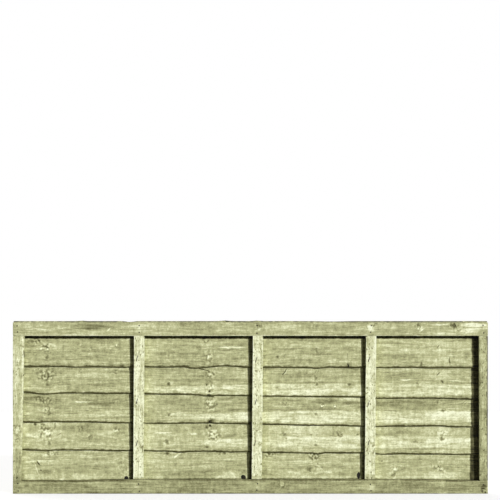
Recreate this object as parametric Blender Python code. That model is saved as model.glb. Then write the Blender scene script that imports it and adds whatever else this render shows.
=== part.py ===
"""Waney lap fence panel, 1.83 m long by 0.66 m high, in pressure-treated sawn softwood.

Five long slats lean between a front frame and a back frame, each lapped over the top of the one below.
Each frame is a top and a bottom rail, two end stiles and three battens, nailed through the slats.

Units are metres and +Z is up. The front faces -Y, and +X runs from the left end to the right end.
The origin is on the outer edge of the front frame's left stile, halfway up, at the middle of its thickness.
"""

import math
from collections import namedtuple

import bmesh
import bpy
from mathutils import Vector

# Open bays between the uprights, from the left end to the right end
BAY_1 = 0.428
BAY_2 = 0.417
BAY_3 = 0.396
BAY_4 = 0.395

# Widths of the frame timbers, as seen from the front
STILE_WIDTH = 0.037
BATTEN_WIDTH = 0.040
TOP_RAIL_HEIGHT = 0.052
BOTTOM_RAIL_HEIGHT = 0.050
FRAME_HEIGHT = 0.660

# Thicknesses, front to back
FRONT_FRAME_THICKNESS = 0.022
FRONT_BATTEN_THICKNESS = 0.020
BACK_FRAME_THICKNESS = 0.016
SLAT_THICKNESS = 0.005

# How far a slat reaches up behind the one above, over the frame's top and down behind the bottom rail
SLAT_LAP = 0.0175
TOP_SLAT_PROUD = 0.0042
BOTTOM_SLAT_TUCK = 0.034

# The wane is the rounded outside of the log, left along the lower front arris of each slat
WANE_RISE = 0.0038
WANE_DEPTH = 0.0022

# Seats, arrises and the spacing of a slat's sections
SEAT_GAP = 0.0003
ARRIS = 0.0012
SECTION_SPACING = 0.015

# A wave is a height, a length and a start in turns. A bump is a place along the slat, a rise and a spread.
Wave = namedtuple("Wave", "height length turn")
Bump = namedtuple("Bump", "at rise spread")

# A slat's lower edge lies near an even course between the rails, so much above it at the left and right ends
Slat = namedtuple("Slat", "name above_left above_right waves bumps top_bumps", defaults=((), ()))

SLATS = (
    Slat(
        "slat_1",
        -0.0099,
        -0.0135,
        waves=(Wave(0.0009, 0.61, 0.10), Wave(0.0007, 0.173, 0.35)),
        bumps=(
            Bump(0.703, -0.0065, 0.034),
            Bump(0.819, 0.0046, 0.050),
            Bump(1.175, -0.0050, 0.026),
            Bump(1.330, -0.0022, 0.080),
        ),
        top_bumps=(
            Bump(0.265, 0.0017, 0.012),
            Bump(0.450, -0.0033, 0.016),
            Bump(0.817, 0.0024, 0.016),
            Bump(0.941, 0.0020, 0.012),
            Bump(1.230, -0.0013, 0.060),
        ),
    ),
    Slat(
        "slat_2",
        0.0043,
        -0.0240,
        waves=(Wave(0.0009, 0.83, 0.60), Wave(0.0005, 0.211, 0.10)),
        bumps=(
            Bump(0.117, -0.0050, 0.050),
            Bump(0.751, -0.0041, 0.022),
            Bump(1.441, -0.0027, 0.080),
            Bump(1.641, 0.0020, 0.050),
        ),
    ),
    Slat(
        "slat_3",
        0.0028,
        -0.0202,
        waves=(Wave(0.0009, 0.71, 0.05), Wave(0.0007, 0.187, 0.70)),
        bumps=(
            Bump(0.077, -0.0054, 0.050),
            Bump(0.749, 0.0028, 0.050),
            Bump(1.401, -0.0037, 0.060),
            Bump(1.646, 0.0024, 0.034),
        ),
    ),
    Slat(
        "slat_4",
        0.0049,
        -0.0139,
        waves=(Wave(0.0009, 0.57, 0.85), Wave(0.0007, 0.149, 0.20)),
        bumps=(
            Bump(0.127, -0.0028, 0.040),
            Bump(0.508, 0.0028, 0.060),
            Bump(0.640, -0.0035, 0.024),
            Bump(1.177, -0.0048, 0.020),
            Bump(1.441, -0.0028, 0.070),
        ),
    ),
    Slat(
        "slat_5",
        -BOTTOM_SLAT_TUCK,
        -BOTTOM_SLAT_TUCK,
        waves=(Wave(0.0011, 0.66, 0.40), Wave(0.0007, 0.163, 0.55)),
    ),
)

# The wane widens and narrows along the edge
WANE_WAVES = (Wave(0.0006, 0.31, 0.15), Wave(0.0004, 0.117, 0.60))

# Colours, as linear red, green and blue
SLAT_COLOUR = (0.456, 0.462, 0.235, 1.0)
RAIL_COLOUR = (0.470, 0.470, 0.262, 1.0)
STILE_COLOUR = (0.515, 0.519, 0.300, 1.0)
BATTEN_COLOUR = (0.694, 0.716, 0.474, 1.0)
SAWN_ROUGHNESS = 0.85

# Places that follow from the sizes above
BAYS = (BAY_1, BAY_2, BAY_3, BAY_4)
UPRIGHT_WIDTHS = (STILE_WIDTH,) + (BATTEN_WIDTH,) * (len(BAYS) - 1) + (STILE_WIDTH,)
PANEL_LENGTH = sum(BAYS) + sum(UPRIGHT_WIDTHS)
FRAME_TOP = FRAME_HEIGHT / 2
FRAME_BOTTOM = -FRAME_HEIGHT / 2
BAY_TOP = FRAME_TOP - TOP_RAIL_HEIGHT
BAY_BOTTOM = FRAME_BOTTOM + BOTTOM_RAIL_HEIGHT
COURSE = (BAY_TOP - BAY_BOTTOM) / len(SLATS)
FRONT_SEAT_Y = FRONT_FRAME_THICKNESS / 2
SECTION_COUNT = math.ceil(PANEL_LENGTH / SECTION_SPACING)
STATIONS = [PANEL_LENGTH * i / SECTION_COUNT for i in range(SECTION_COUNT + 1)]


def clear_scene():
    for obj in list(bpy.data.objects):
        bpy.data.objects.remove(obj, do_unlink=True)


def make_material(name, colour):
    material = bpy.data.materials.new(name)
    material.use_nodes = True
    shader = material.node_tree.nodes["Principled BSDF"]
    shader.inputs["Base Color"].default_value = colour
    shader.inputs["Roughness"].default_value = SAWN_ROUGHNESS
    shader.inputs["Metallic"].default_value = 0.0
    return material


def add_object(name, bm, material, location=(0.0, 0.0, 0.0)):
    mesh = bpy.data.meshes.new(name)
    bm.to_mesh(mesh)
    bm.free()
    mesh.materials.append(material)
    obj = bpy.data.objects.new(name, mesh)
    obj.location = location
    bpy.context.scene.collection.objects.link(obj)
    return obj


def add_timber(name, low, high, material):
    """A sawn length between two corners, with eased arrises."""
    low, high = Vector(low), Vector(high)
    bm = bmesh.new()
    bmesh.ops.create_cube(bm, size=1.0)
    bmesh.ops.scale(bm, vec=high - low, verts=bm.verts)
    obj = add_object(name, bm, material, (low + high) / 2)
    bevel = obj.modifiers.new("eased_arrises", "BEVEL")
    bevel.width = ARRIS
    bevel.segments = 1
    return obj


def upright_spans():
    """Each upright's left and right edge, in order along the panel."""
    spans = []
    left = 0.0
    for width, bay in zip(UPRIGHT_WIDTHS, BAYS + (0.0,)):
        spans.append((left, left + width))
        left += width + bay
    return spans


def add_frame(side, seat_y, outward, frame_thickness, batten_thickness, materials):
    """The rails, stiles and battens of one face, built outwards from the plane where they meet the slats."""
    near, far = sorted((seat_y, seat_y + outward * frame_thickness))
    for rail, bottom, top in (("top_rail", BAY_TOP, FRAME_TOP), ("bottom_rail", FRAME_BOTTOM, BAY_BOTTOM)):
        add_timber(f"{rail}_{side}", (0.0, near, bottom), (PANEL_LENGTH, far, top), materials["rail"])
    first, *inner, last = upright_spans()
    foot = BAY_BOTTOM + SEAT_GAP
    head = BAY_TOP - SEAT_GAP
    for stile, (left, right) in (("left_stile", first), ("right_stile", last)):
        add_timber(f"{stile}_{side}", (left, near, foot), (right, far, head), materials["stile"])
    near, far = sorted((seat_y, seat_y + outward * batten_thickness))
    for number, (left, right) in enumerate(inner, start=1):
        add_timber(f"batten_{number}_{side}", (left, near, foot), (right, far, head), materials["batten"])


def edge_shape(x, waves, bumps):
    """How far a natural edge stands above its straight line at x."""
    rise = sum(w.height * math.sin(2 * math.pi * (x / w.length + w.turn)) for w in waves)
    return rise + sum(b.rise * math.exp(-(((x - b.at) / b.spread) ** 2)) for b in bumps)


# The heights that set a slat's section: where it meets the front battens, its lower edge,
# where it meets the back battens, and its upper edge
Heights = namedtuple("Heights", "seat lower head upper")


def slat_heights():
    """For each slat, its heights at each station. The seat and the head run straight along the panel."""
    slats = []
    line_above = [FRAME_TOP] * len(STATIONS)
    for number, slat in enumerate(SLATS, start=1):
        course = BAY_TOP - COURSE * number
        tilt = (slat.above_right - slat.above_left) / PANEL_LENGTH
        line = [course + slat.above_left + tilt * x for x in STATIONS]
        shape = [edge_shape(x, slat.waves, slat.bumps) for x in STATIONS]
        reach = TOP_SLAT_PROUD if number == 1 else SLAT_LAP
        head = [above + reach for above in line_above]
        slats.append(
            [
                Heights(z + min(shape), z + rise, top, top + edge_shape(x, (), slat.top_bumps))
                for x, z, rise, top in zip(STATIONS, line, shape, head)
            ]
        )
        line_above = line
    return slats


def lean_depth(slats):
    """How far back each slat leans between its seat and its head.

    It is the least that lets every slat pass behind the one above it with the seat gap between them.
    """
    behind = SLAT_THICKNESS + SEAT_GAP
    depths = []
    for upper_slat, lower_slat in zip(slats, slats[1:]):
        for above, below in zip(upper_slat, lower_slat):
            for z in (above.lower, below.head):
                share_above = (z - above.seat) / (above.head - above.seat)
                share_below = (z - below.seat) / (below.head - below.seat)
                depths.append(behind / (share_below - share_above))
    return max(depths)


def slat_section(x, heights, lean):
    """The five corners of a slat's section at x, from the upper front corner down and round the back."""

    def front(z):
        return FRONT_SEAT_Y + SEAT_GAP + lean * (z - heights.seat) / (heights.head - heights.seat)

    wane_top = heights.lower + WANE_RISE + edge_shape(x, WANE_WAVES, ())
    return (
        (x, front(heights.upper), heights.upper),
        (x, front(wane_top), wane_top),
        (x, front(heights.lower) + WANE_DEPTH, heights.lower),
        (x, front(heights.lower) + SLAT_THICKNESS, heights.lower),
        (x, front(heights.upper) + SLAT_THICKNESS, heights.upper),
    )


def add_slat(name, slat, lean, material):
    """A board skinned over its sections from end to end."""
    bm = bmesh.new()
    rings = [[bm.verts.new(corner) for corner in slat_section(x, h, lean)] for x, h in zip(STATIONS, slat)]
    for ring, following in zip(rings, rings[1:]):
        for i in range(len(ring)):
            bm.faces.new((ring[i - 1], ring[i], following[i], following[i - 1]))
    bm.faces.new(rings[0])
    bm.faces.new(rings[-1])
    bmesh.ops.recalc_face_normals(bm, faces=bm.faces)
    return add_object(name, bm, material)


def main():
    clear_scene()
    materials = {
        "slat": make_material("sawn_slats", SLAT_COLOUR),
        "rail": make_material("sawn_rails", RAIL_COLOUR),
        "stile": make_material("sawn_stiles", STILE_COLOUR),
        "batten": make_material("sawn_battens", BATTEN_COLOUR),
    }
    slats = slat_heights()
    lean = lean_depth(slats)
    back_seat_y = FRONT_SEAT_Y + SEAT_GAP + lean + SLAT_THICKNESS + SEAT_GAP
    add_frame("front", FRONT_SEAT_Y, -1, FRONT_FRAME_THICKNESS, FRONT_BATTEN_THICKNESS, materials)
    add_frame("back", back_seat_y, 1, BACK_FRAME_THICKNESS, BACK_FRAME_THICKNESS, materials)
    for slat, heights in zip(SLATS, slats):
        add_slat(slat.name, heights, lean, materials["slat"])


main()
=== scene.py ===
"""Dresses the waney lap fence panel in sawn, pressure-treated softwood, and sets its stage.

Slats keep the bark-side wane along their lower edges, and every timber has its own knots and streaks.
Places are in metres in the panel's own frame: +X along the panel, -Y out of its front, +Z up.
"""

import math
import random
from collections import namedtuple

import bmesh
import bpy
from bpy.props import FloatProperty, FloatVectorProperty, PointerProperty
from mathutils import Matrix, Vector


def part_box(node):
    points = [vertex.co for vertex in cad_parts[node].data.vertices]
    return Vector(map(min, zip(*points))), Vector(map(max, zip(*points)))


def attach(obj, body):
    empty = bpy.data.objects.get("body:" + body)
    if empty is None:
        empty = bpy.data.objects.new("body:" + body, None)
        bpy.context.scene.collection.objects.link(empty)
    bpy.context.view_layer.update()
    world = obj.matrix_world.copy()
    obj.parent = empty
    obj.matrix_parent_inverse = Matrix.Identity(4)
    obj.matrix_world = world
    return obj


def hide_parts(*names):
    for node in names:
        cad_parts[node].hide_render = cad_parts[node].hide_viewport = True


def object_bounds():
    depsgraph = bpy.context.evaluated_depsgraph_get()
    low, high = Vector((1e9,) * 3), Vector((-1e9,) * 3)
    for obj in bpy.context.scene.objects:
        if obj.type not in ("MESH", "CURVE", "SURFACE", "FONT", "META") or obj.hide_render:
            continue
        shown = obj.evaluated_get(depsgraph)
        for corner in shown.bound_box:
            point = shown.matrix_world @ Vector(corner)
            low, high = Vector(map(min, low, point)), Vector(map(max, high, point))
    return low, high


bl_info = {
    "name": "Waney lap fence panel",
    "version": (1, 0, 0),
    "blender": (4, 5, 0),
    "location": "3D View > Sidebar > Fence Panel",
    "description": "Gives the fence panel its sawn timbers, natural edges, nails and staples, and a stage",
    "category": "Object",
}

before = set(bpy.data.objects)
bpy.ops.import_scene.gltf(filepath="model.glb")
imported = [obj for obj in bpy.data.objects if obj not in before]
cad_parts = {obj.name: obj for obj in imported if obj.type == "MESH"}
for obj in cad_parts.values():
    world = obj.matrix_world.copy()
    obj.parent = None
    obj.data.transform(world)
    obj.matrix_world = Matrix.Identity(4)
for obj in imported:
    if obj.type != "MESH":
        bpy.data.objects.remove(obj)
CAD_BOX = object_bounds()
BODY = "root"

# Places read from the frame
PANEL_LOW, PANEL_HIGH = (Vector(corner) for corner in CAD_BOX)
RAIL_LOW, RAIL_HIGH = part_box("top_rail_front")
PANEL_LENGTH = RAIL_HIGH.x - RAIL_LOW.x
SIDES = ("front", "back")
RAILS = ("top_rail", "bottom_rail")
UPRIGHTS = ("left_stile", "batten_1", "batten_2", "batten_3", "right_stile")
BATTENS = UPRIGHTS[1:-1]
SLATS = ("slat_1", "slat_2", "slat_3", "slat_4", "slat_5")
SLAT_THICKNESS = 0.005

# Treated softwood from its darkest stain to its palest grain, each tone with its linear colour
TREATED_TONES = (
    (0.05, (0.0037, 0.0027, 0.0003)),
    (0.17, (0.0252, 0.0232, 0.0040)),
    (0.36, (0.1070, 0.1022, 0.0409)),
    (0.55, (0.2623, 0.2623, 0.1274)),
    (0.74, (0.4969, 0.5029, 0.2705)),
    (0.86, (0.6939, 0.7084, 0.4452)),
    (0.97, (0.9047, 0.9301, 0.6795)),
)

# How much each part of the grain lightens the wood, and how far in metres it raises the surface
GRAIN_TONES = {
    "streaks": 0.50,
    "fibres": 0.38,
    "line": -0.06,
    "mottle": 0.34,
    "saw": 0.20,
    "speck": 0.24,
    "curl": 0.17,
    "pits": -0.30,
}
GRAIN_HEIGHTS = {"fibres": 0.0006, "saw": 0.0006, "line": -0.0002}

# How far the rings wander from true circles
RING_WANDER = 0.030

# Where a knot's dark rim lies, as a share of its half size
KNOT_RIM = 1.05

# How far noise pushes the outlines of knots and marks
RAGGEDNESS = (0.008, 0.0, 0.006)

# Dirt and painted shade on the edges that face up or down, darkening the lap lines and the bottom rail's top,
# how much noise breaks it up, and where it starts and is whole
EDGE_DIRT_AND_SHADE_TONE = -0.30
EDGE_DIRT_AND_SHADE_NOISE = 0.9
EDGE_DIRT_AND_SHADE_RAMP = (0.62, 0.95)

# Arrises paled by handling wear and a painted highlight, and their width, the shine of dry wood, and how
# pitted the uprights and the rest are
WORN_HIGHLIGHT_TONE = 0.05
WORN_HIGHLIGHT_WIDTH = 0.004
DRY_SPECULAR = 0.25
UPRIGHT_PITS = 1.0
LEVEL_PITS = 0.2

# How far behind a timber's middle, and how far over or under it, the log's pith may lie
PITH_BEHIND = (0.04, 0.09)
PITH_OVER = (-0.10, 0.10)

# The colour sockets of a mix node, which share their names with its other sockets
MIX_A, MIX_B, MIX_RESULT = 6, 7, 2

# A knot and a mark each have a place in the panel, half a length along X, half a height along Z, and a turn.
# A knot's tone is its core's, and its flecks are how much the wood round it is flecked.
# A mark lightens or darkens the wood, and is soft from 0, hard edged, to 1.
Knot = namedtuple("Knot", "x z length height turn tone flecks")
Mark = namedtuple("Mark", "x z length height tone turn soft", defaults=(0.0, 0.8))

# Each timber's own tone, knots and marks, and the marks that lie on its front face alone
Wood = namedtuple("Wood", "tone knots marks front_marks", defaults=((), (), ()))


def own_wood(tone, **rows):
    """A timber's wood from rows of numbers: the first four in millimetres, and turns in degrees."""
    kinds = {"knots": Knot, "marks": Mark, "front_marks": Mark}
    lists = {
        name: [kinds[name](*(number / 1000 for number in row[:4]), *row[4:]) for row in some]
        for name, some in rows.items()
    }
    return Wood(tone, **lists)


# The woods of the slats and of the front frame, with their knots and marks
WOODS = {
    "slat_1": own_wood(
        0.70,
        knots=(
            (89, 253, 12, 7, 0, -0.1, 0.9), (123, 235, 12, 8, 30, -0.12, 1),
            (132, 225, 5, 6, 0, 0.18, 0.6), (130, 196, 7, 9, 0, -0.16, 0.3),
            (260, 242, 4, 5, 0, 0.12, 0.5), (297.5, 226.5, 5, 5, 0, 0.1, 0.4),
            (397.5, 240, 5, 5, 0, 0.12, 0.5), (601, 203, 6, 6, 0, -0.2, 0.4),
            (743, 259, 8, 7, 0, 0.12, 0.5), (756, 194, 10, 15, 0, 0.12, 0.8),
            (1021, 196, 5, 4, 0, -0.16, 0.3), (1169, 220, 5, 8, 0, -0.12, 0.5),
            (1575, 170, 4, 7, 0, -0.24, 0.3),
        ),
        marks=(
            (90, 220, 80, 30, -0.05), (260, 186, 240, 24, -0.04), (162.5, 240, 22, 3.5, 0.16),
            (323, 187, 16, 24, -0.06), (620, 208, 130, 10, -0.05), (520, 236, 90, 6, 0.05),
            (842, 232.5, 68, 4.6, 0.24, 0, 0.5), (1060, 230, 110, 16, -0.04),
            (1220, 206, 100, 4.5, -0.1), (1294, 164, 3, 11, -0.44, 18, 0.5),
            (1290.5, 198, 2.2, 20, -0.16, 4), (1284, 178, 4, 14, 0.08), (1250, 180, 100, 16, 0.05),
            (1580, 232, 300, 44, 0.1), (1641.2, 236.6, 2, 9, -0.36, -40, 0.5),
            (1480, 203, 90, 10, -0.07), (1684, 180, 3.8, 22, -0.36, 10, 0.6),
            (1679, 190, 4, 14, 0.08, 8), (1600, 180, 200, 18, 0.05), (318, 227, 130, 3, 0.06),
            (129, 194, 9, 9, -0.1), (74.5, 254, 8, 5, -0.12), (785, 169, 20, 6, -0.12),
            (279.5, 335.5, 6, 4, -0.45, 0, 0.5), (828, 335.5, 11, 4, -0.45, 0, 0.5),
            (957, 335.5, 11, 4, -0.4, 0, 0.5), (1168.5, 335.5, 5, 4, -0.4, 0, 0.5),
            (1555, 335.5, 6, 4, -0.4, 0, 0.5),
        ),
        # Painted shadow of the top rail along the slat just below it
        front_marks=((915, 271.5, 2400, 6.6, -0.48, 0, 0.3),),
    ),
    "slat_2": own_wood(
        0.70,
        knots=(
            (97, 146, 10, 5, 0, 0.1, 0.8), (127.5, 125, 18, 15, 20, -0.14, 1),
            (132, 93, 6, 8, 0, -0.18, 0.3), (260, 142, 4, 5, 0, 0.12, 0.4),
            (397.5, 137, 6, 6, 0, 0.1, 0.5), (599, 92, 6, 6, -30, -0.26, 0.4),
            (760, 129, 14, 9, 0, 0.03, 0.9), (756.5, 79, 9, 14, 0, 0.1, 0.8),
            (1017, 76.5, 5, 4, 0, -0.16, 0.3), (1169, 122, 4, 14, 0, -0.08, 0.5),
            (1171, 89.5, 6, 4, 20, -0.24, 0.4), (1295, 89.5, 6, 4, -20, -0.2, 0.4),
            (1559, 93.5, 8, 3, -8, -0.28, 0.4), (1656, 100.5, 7, 3, -40, -0.26, 0.5),
        ),
        marks=(
            (80, 130, 50, 30, -0.03), (250, 119.5, 160, 2.2, 0.07),
            (733.8, 146.8, 27, 3, -0.44, -13, 0.5), (745, 87, 3, 7, -0.3, 0, 0.5),
            (757.5, 64, 5, 5, -0.44, 0, 0.5), (756, 48, 10, 5, -0.45, 0, 0.5), (420, 82, 60, 20, 0.04),
            (684, 131, 55, 3.5, 0.1), (620, 145, 100, 4, -0.06), (325, 114.5, 100, 2, -0.07),
            (660, 80, 85, 23, 0.04, 0, 0.5), (860, 78, 80, 22, 0.03, 0, 0.5),
            (720, 106, 190, 4.5, -0.08), (1047.5, 139, 1.8, 20, -0.44, -34, 0.4),
            (1052, 136.5, 1.8, 13, 0.18, -34, 0.5), (1140, 123, 200, 18, -0.03),
            (1130, 97.5, 240, 2.6, -0.1, 0, 0.5), (1360, 69, 950, 27, 0.12, 0, 0.2),
            (1080, 98.5, 50, 3, 0.09, 2), (1280, 92.5, 50, 3, -0.09, -2), (1500, 93, 50, 3, -0.08, 2),
            (1600, 99, 60, 2.8, 0.08, -1), (1640, 64, 200, 26, 0.05), (1620, 133, 200, 30, 0.06),
            (1520, 128, 140, 14, -0.07), (1641.3, 130.1, 2.6, 11.5, -0.4, -45, 0.5),
            (1176, 139, 2, 10, -0.2, -30), (1720, 128, 70, 10, -0.04),
            (1514, 107, 32, 3.8, 0.18, 0, 0.5), (1715, 103, 50, 3, 0.1, -6),
            (1715, 96.5, 50, 2.2, -0.1, -6),
        ),
    ),
    "slat_3": own_wood(
        0.70,
        knots=(
            (100, 35, 12, 6, 0, 0.08, 0.8), (127.5, 24, 12, 10, 0, 0.08, 0.9),
            (132, -3, 9, 9, 0, 0.14, 0.8), (137, -21, 6, 7, 0, -0.22, 0.4),
            (297.5, -1.5, 4, 6, 0, -0.12, 0.4), (397.5, 22, 6, 6, 0, 0.12, 0.6),
            (599, -25.5, 6, 7, -30, -0.26, 0.4), (760, 13, 14, 14, 0, 0.02, 1),
            (761, -53, 12, 10, 30, -0.5, 0.6), (1169, -25.5, 6, 4, 0, -0.2, 0.4),
            (1019, -51.5, 8, 4, 0, -0.16, 0.4), (1042, 16, 14, 5, 0, -0.12, 0.5),
            (1193, 7, 8, 5, 20, 0.22, 0.7), (1241, 4.5, 6, 5, 0, 0.22, 0.7),
            (1552, -18, 7, 4, 0, -0.12, 0.4), (1638.5, 22, 7, 5, 0, -0.16, 0.5),
            (1660, -10.5, 10, 6, 0, -0.2, 0.5),
        ),
        marks=(
            (110, 27, 110, 24, -0.13, 0, 0.5), (360, 24, 110, 20, -0.11, 0, 0.5),
            (80, -20, 40, 18, 0.05), (270, 22, 52, 3.2, 0.24, 0, 0.5), (205, 27.5, 30, 2.2, 0.1, -6),
            (380, -20, 70, 20, 0.06), (620, 25, 140, 18, -0.08), (670, 41, 30, 2.5, 0.12),
            (670, -24, 110, 8, 0.12, 0, 0.5), (620, -42, 200, 16, 0.06), (860, 18, 80, 12, -0.06),
            (860, -7, 70, 2, -0.12, 0, 0.4), (764, 43, 16, 4, -0.36, 0, 0.6), (785, 13, 8, 3, -0.26),
            (1070, 29, 120, 10, -0.03), (1060, 5.5, 100, 3, 0.08), (1120, -5, 220, 4, -0.1),
            (1205, 25, 60, 14, -0.14, 0, 0.5), (1305, 19, 50, 7, -0.14, 0, 0.5),
            (1235, 0, 50, 6, -0.08), (1292, 8, 32, 3.5, 0.16, 4, 0.5), (1290, 34.5, 50, 3, 0.12),
            (1140, -8, 220, 2, -0.13, 0, 0.4), (1380, -36, 800, 26.5, 0.15, 0, 0.2),
            (1050, -7, 50, 3.2, 0.1, -2), (1300, -12.5, 50, 3.4, -0.11, 2),
            (1470, -13, 50, 3.6, -0.11, -3), (1660, -6, 50, 3.4, 0.1, 3),
            (1700, -23, 100, 24, 0.06, 4, 0.6), (1500, 12, 170, 22, -0.07, -3, 0.4),
            (1660, 20, 100, 12, -0.06, 8, 0.6), (1745, 15.5, 2, 13, -0.18, -50),
            (1495, -58, 20, 7, -0.09), (1440, 20, 50, 5, -0.06), (1738, 20, 20, 3, -0.16, 35),
        ),
    ),
    "slat_4": own_wood(
        0.73,
        knots=(
            (84.2, -63, 5, 5, 0, -0.46, 0.3), (113, -74, 10, 10, 0, -0.12, 0.8),
            (130, -96, 14, 14, 20, 0.07, 1), (129, -99, 4.5, 6, 0, 0.16, 0.5),
            (108, -117, 6, 6, 0, -0.18, 0.4), (137, -137, 6, 9, 0, -0.2, 0.4),
            (160.5, -70, 3, 9, 0, -0.26, 0.4), (260, -82, 5, 6, 0, 0.12, 0.6),
            (297.5, -115, 6, 9, 0, -0.2, 0.5), (399, -89, 9, 8, 0, 0.12, 0.8),
            (593.5, -132, 7, 8, 0, -0.16, 0.6), (747, -75.5, 6, 6, 30, -0.4, 0.5),
            (772, -106, 18, 14, 0, 0.1, 1), (743.5, -152, 9, 5, 0, -0.2, 0.4),
            (1040, -102, 10, 6, 0, -0.12, 0.6), (1054, -120, 4, 3, 0, -0.2, 0.5),
            (1167, -145, 7, 4, 0, -0.22, 0.4), (1260, -103, 10, 8, -20, -0.18, 0.7),
            (1332, -102, 6, 3, 0, -0.16, 0.4), (1549, -132, 9, 4, 0, -0.2, 0.4),
            (1656, -121, 9, 6, -20, -0.34, 0.7), (1656, -100, 14, 6, 0, -0.06, 0.7),
        ),
        marks=(
            (75, -80, 40, 22, -0.09), (330, -84.5, 65, 1.6, -0.12), (270, -80, 210, 18, -0.09, 0, 0.5),
            (107, -106, 3.4, 14, -0.26, 0, 0.6), (179, -101, 14, 2, -0.22, 34, 0.6),
            (759, -69.4, 6, 7, -0.45, 0, 0.5), (568, -153, 26, 2, -0.12),
            (575.5, -97.5, 50, 3, 0.2, 0, 0.5), (697, -101.7, 18, 3.4, 0.2, 0, 0.5),
            (620, -78, 100, 12, 0.03), (840, -88, 80, 18, 0.06), (360, -136, 90, 22, 0.06),
            (680, -134, 200, 24, 0.05, 0, 0.6), (1300, -78, 500, 24, 0.06),
            (1450, -134, 900, 27.5, 0.12, 0, 0.35), (1100, -104, 50, 3, 0.09, 2),
            (1240, -109.5, 40, 3, -0.09, -2), (1500, -104, 50, 3, 0.08, -2),
            (1680, -110, 40, 3, -0.09, 3), (1660, -110, 140, 34, 0.07), (1060, -101, 90, 4, -0.06),
            (1149, -105.5, 7, 2.8, -0.26, 0, 0.6), (1172, -105.5, 6, 2.8, -0.28, 0, 0.6),
            (1165.5, -129, 4, 2, -0.22), (1330, -105, 8, 3, -0.24, 0, 0.6),
            (1470, -110.5, 80, 2.2, -0.1), (1569, -135.2, 24, 2, -0.2, 6, 0.5),
            (1650, -157, 70, 5, -0.09), (1550, -159, 120, 5, -0.08), (1600, -85, 150, 14, 0.05),
        ),
    ),
    "slat_5": own_wood(
        0.715,
        knots=(
            (146, -176, 18, 6, 0, 0.1, 0.9), (424, -233, 10, 22, 20, -0.06, 0.4),
            (596, -177, 14, 6, 10, -0.2, 0.6), (664, -170, 8, 4, 30, -0.3, 0.5),
            (800, -174, 16, 6, 0, -0.16, 0.8), (999, -177, 22, 7, 20, -0.2, 1),
            (1162, -185, 14, 14, 30, -0.12, 1), (1154, -240, 11, 9, 0, -0.16, 0.5),
            (1176, -217, 3, 3, 0, -0.26, 0.3), (1424, -206, 3, 3, 0, -0.26, 0.3),
            (1473, -236, 7, 9, 0, 0.14, 0.6), (1464, -261, 12, 7, 40, -0.18, 0.6),
            (1643, -234, 18, 6, -20, 0.1, 0.9),
        ),
        marks=(
            (80, -176, 40, 9, 0.06), (110, -200, 70, 1.8, -0.16, 0, 0.5),
            (96, -215, 4.2, 16, -0.42, 36, 0.6), (130, -247, 26, 12, -0.18, 0, 0.6),
            (106, -242, 5, 5, -0.34), (915, -196, 2400, 22, 0.03, 0, 0.6),
            (270, -244, 200, 22, -0.05, 0, 0.6), (1150, -245, 210, 20, 0.05, 0, 0.6),
            (635, -183, 22, 4.5, 0.2, 36, 0.4), (1185, -232, 28, 3, 0.12, -42),
            (1156, -183, 3, 14, 0.14, 30), (1000, -209, 30, 2, 0.08), (1140, -237, 16, 14, -0.09),
            (1510, -236, 24, 16, -0.07), (1384.5, -260, 2.5, 12, -0.2, -40, 0.5),
            (1405, -266, 30, 10, 0.1), (1646, -231, 2.5, 13, -0.26, 40, 0.5),
            (1660, -256, 120, 12, 0.04), (1050, -267.2, 950, 5.8, 0.08, 0, 0.4),
        ),
        front_marks=(
            # Painted shade in the joint above the bottom rail, in four lengths
            (120, -280.5, 170, 3.5, -0.24, 0, 0.6), (340, -277.8, 170, 3.5, -0.22, 1, 0.6),
            (1000, -274.8, 620, 3.5, -0.2, 0, 0.6), (1670, -277.8, 180, 3.5, -0.22, -1, 0.6),
            (62, -248, 30, 48, 0.11, 24, 0.35), (90, -237, 3.2, 34, 0.18, 22, 0.5),
            # These three marks are painted shadow: black patches left of the batten feet
            (436.5, -271.5, 8.5, 8, -0.75, 0, 0.1), (888, -269, 10, 10.5, -0.75, 0, 0.1),
            (1333, -262, 7, 14, -0.75, 0, 0.1),
        ),
    ),
    "top_rail_front": own_wood(
        0.715,
        knots=(
            (947, 314, 12, 7, 20, -0.14, 0.6), (1167, 317, 8, 5, 0, -0.14, 0.4),
            (1388, 320, 10, 5, 30, -0.16, 0.6), (1560, 318, 12, 7, 20, -0.26, 0.5),
            (1699, 319, 12, 10, 0, -0.24, 0.6), (1720, 300, 11, 4, 30, -0.22, 0.5),
        ),
        marks=(
            (110, 304, 60, 3, 0.14, -8), (185, 307, 50, 2.8, 0.12, 10), (95, 317, 60, 4, 0.08, 6),
            (300, 314, 100, 18, -0.17, 0, 0.6), (370, 303, 14, 3.4, 0.24, 45), (500, 317, 80, 6, 0.08),
            (486, 308, 26, 20, 0.12), (600, 305, 100, 2.5, 0.05), (770, 310, 40, 14, -0.07),
            (943, 308, 24, 20, 0.08), (944, 299, 20, 8, 0.12, 30), (990, 306, 50, 16, 0.04),
            (1065, 310, 100, 16, 0.05), (1265, 308, 85, 18, -0.08), (1364, 309, 2, 10, -0.22, 35, 0.5),
            (1389, 316, 2, 10, -0.22, -35, 0.5), (1378, 308, 30, 18, 0.2), (1568, 308, 16, 14, 0.16),
            (1450, 312, 60, 12, 0.05), (1575, 300, 16, 3.6, 0.22, 40),
            (1568, 308, 2.4, 14, -0.22, -30, 0.6), (1640, 321, 60, 4, 0.14, 0, 0.6),
            # The first mark here is a painted highlight along the rail's lower edge, at its right end
            (1600, 286.5, 200, 5, 0.1), (1775, 320, 62, 10, 0.24, 0, 0.4), (1760, 300, 75, 18, 0.19),
            (1705, 319, 2.4, 16, -0.26, 20), (915, 329, 2400, 2, -0.1, 0, 0.5),
            # Painted highlight along the rail's lower edge
            (915, 279.5, 1200, 2.4, 0.08, 0, 0.6),
        ),
    ),
    "bottom_rail_front": own_wood(
        0.62,
        knots=(
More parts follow.
